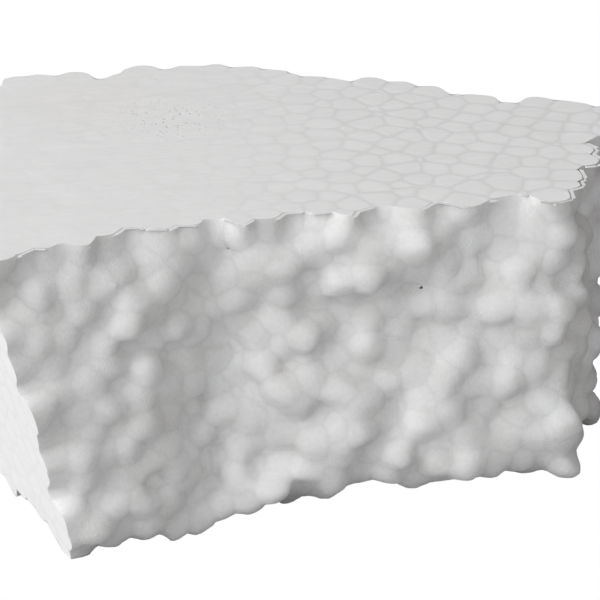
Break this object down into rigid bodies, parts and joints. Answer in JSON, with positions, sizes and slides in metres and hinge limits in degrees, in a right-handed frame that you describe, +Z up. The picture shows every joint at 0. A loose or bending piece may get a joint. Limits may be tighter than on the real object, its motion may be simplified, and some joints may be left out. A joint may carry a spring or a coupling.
{
  "type": "polystyrene foam chunk",
  "caption": "White expanded polystyrene bead foam chunk broken from a moulded board, with a flat top skin, one drafted skin side and rough broken sides.",
  "frame": {"origin": "centre of the chunk's box in plan, at its base, on the plane that its lowest beads rest on", "axes": "+X to the right along the broken front face, +Y from the front to the back, +Z up, square to the flat top skin"},
  "size_m": [0.1178, 0.0846, 0.05],
  "materials": {
    "moulded_skin_eps": "satin moulded skin",
    "fractured_eps": "matte bead surface"
  },
  "bodies": {
    "root": {"top_skin_beads": "moulded_skin_eps", "left_skin_beads": "moulded_skin_eps", "skin_edge_beads": "moulded_skin_eps", "broken_rim_beads": "moulded_skin_eps", "torn_skin_flakes": "moulded_skin_eps", "front_fracture_beads": "fractured_eps", "right_fracture_beads": "fractured_eps", "back_right_fracture_beads": "fractured_eps", "back_left_fracture_beads": "fractured_eps", "underside_fracture_beads": "fractured_eps", "resting_beads": "fractured_eps", "hanging_bead": "fractured_eps", "fused_bead_core": "fractured_eps"}
  },
  "joints": []
}
